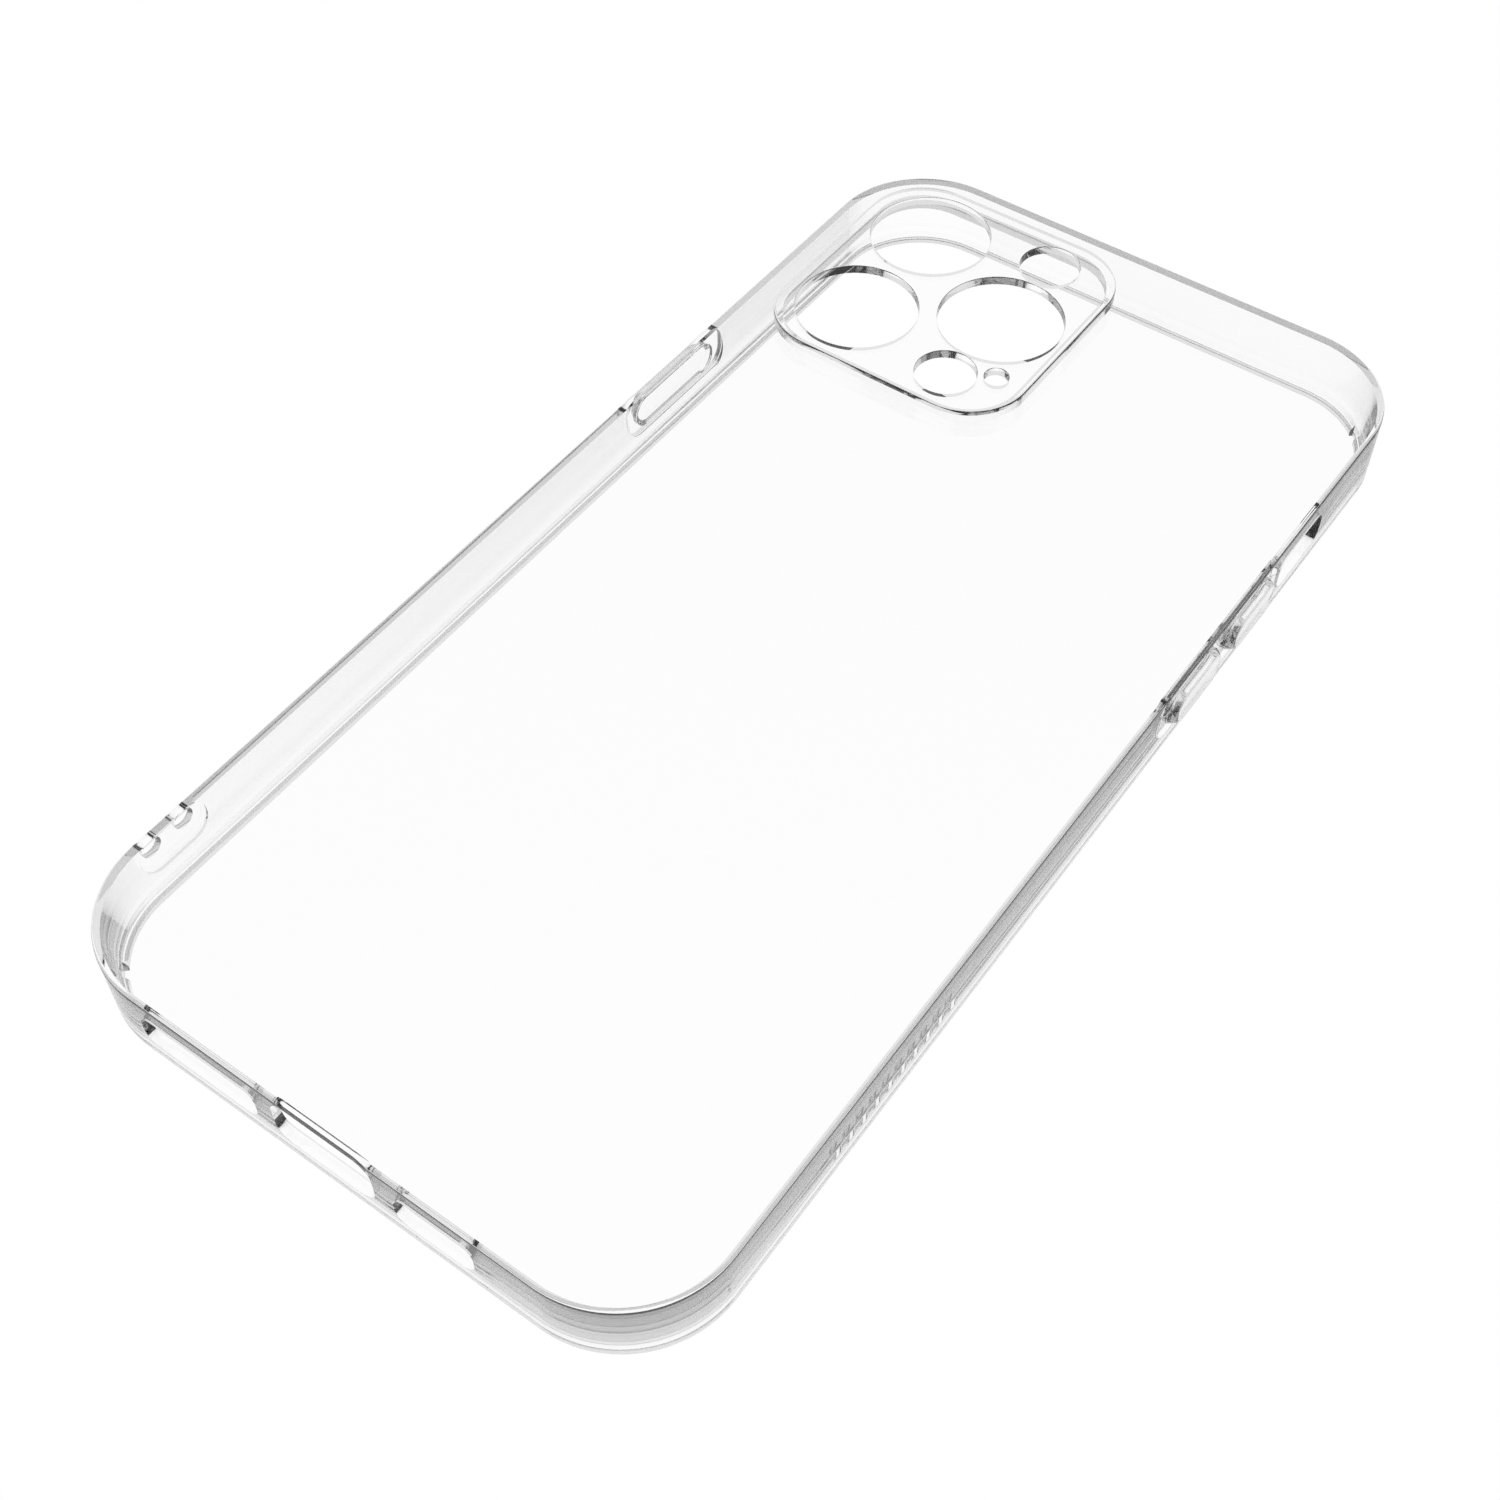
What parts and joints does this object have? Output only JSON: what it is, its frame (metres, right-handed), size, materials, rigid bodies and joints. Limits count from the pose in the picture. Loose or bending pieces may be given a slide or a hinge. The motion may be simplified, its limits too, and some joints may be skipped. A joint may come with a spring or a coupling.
{
  "type": "phone case",
  "caption": "Clear protective case for a flat-sided phone, with a raised camera surround, moulded side buttons, wall cut-outs and a lanyard bar.",
  "frame": {"origin": "centre of the case in plan, on the plane of the front rim that it lies on", "axes": "+Z out of the case's back, +Y toward the top end (camera end), +X to the right when the back is seen with the top end up"},
  "size_m": [0.0822, 0.1632, 0.0115],
  "materials": {
    "clear_hard": "clear polished polycarbonate",
    "clear_soft": "clear glossy thermoplastic polyurethane",
    "clear_button": "clear glossy thermoplastic polyurethane"
  },
  "bodies": {
    "case": {"bumper_frame": "clear_soft", "back_plate": "clear_hard", "camera_guard": "clear_hard", "lanyard_bar": "clear_soft", "volume_web": "clear_soft", "power_web": "clear_soft"},
    "volume_up": {"volume_up_button": "clear_button"},
    "volume_down": {"volume_down_button": "clear_button"},
    "power": {"power_button": "clear_button"}
  },
  "joints": [
    {"name": "volume_up_press", "type": "slide", "parent": "case", "child": "volume_up", "axis": [-1, 0, 0], "range_m": [0, 0.0004], "stiffness_N_per_m": 4000},
    {"name": "volume_down_press", "type": "slide", "parent": "case", "child": "volume_down", "axis": [-1, 0, 0], "range_m": [0, 0.0004], "stiffness_N_per_m": 4000},
    {"name": "power_press", "type": "slide", "parent": "case", "child": "power", "axis": [1, 0, 0], "range_m": [0, 0.0004], "stiffness_N_per_m": 4000}
  ]
}
